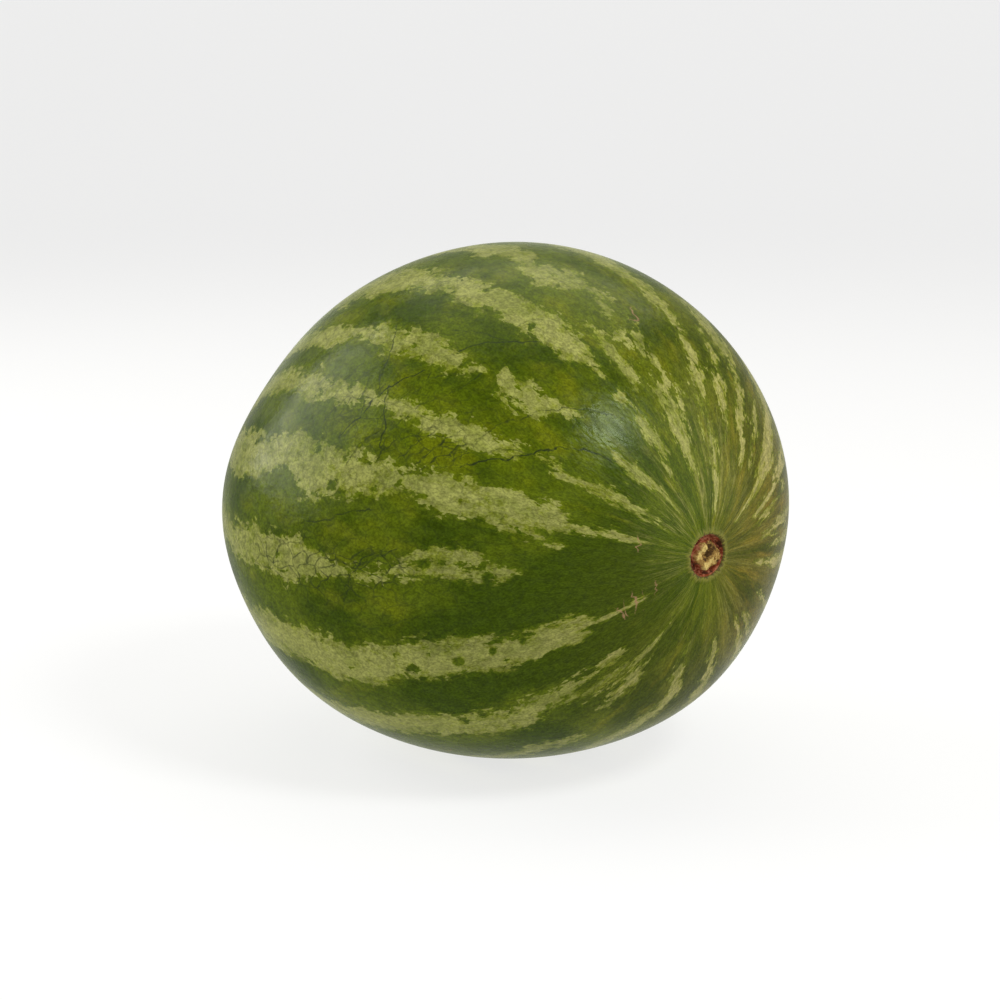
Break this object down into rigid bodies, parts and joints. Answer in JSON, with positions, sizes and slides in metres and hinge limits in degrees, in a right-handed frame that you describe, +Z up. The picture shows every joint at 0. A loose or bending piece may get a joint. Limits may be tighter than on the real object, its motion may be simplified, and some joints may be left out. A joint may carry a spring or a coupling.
{
  "type": "watermelon",
  "caption": "Whole round striped watermelon lying on its side on a small flat spot, with a torn stem scar; fresh fruit for a kitchen, table or market stall.",
  "frame": {"origin": "bottom centre of the fruit's bounding box, in the plane of the flat spot that it rests on", "axes": "+X runs along the stem axis towards the stem end, +Z is up, +Y completes the right-handed frame"},
  "size_m": [0.2582, 0.2428, 0.2249],
  "materials": {
    "rind": "smooth waxy rind, half gloss, light and dark green stripes from end to end"
  },
  "bodies": {
    "root": {"watermelon": "rind"}
  },
  "joints": []
}
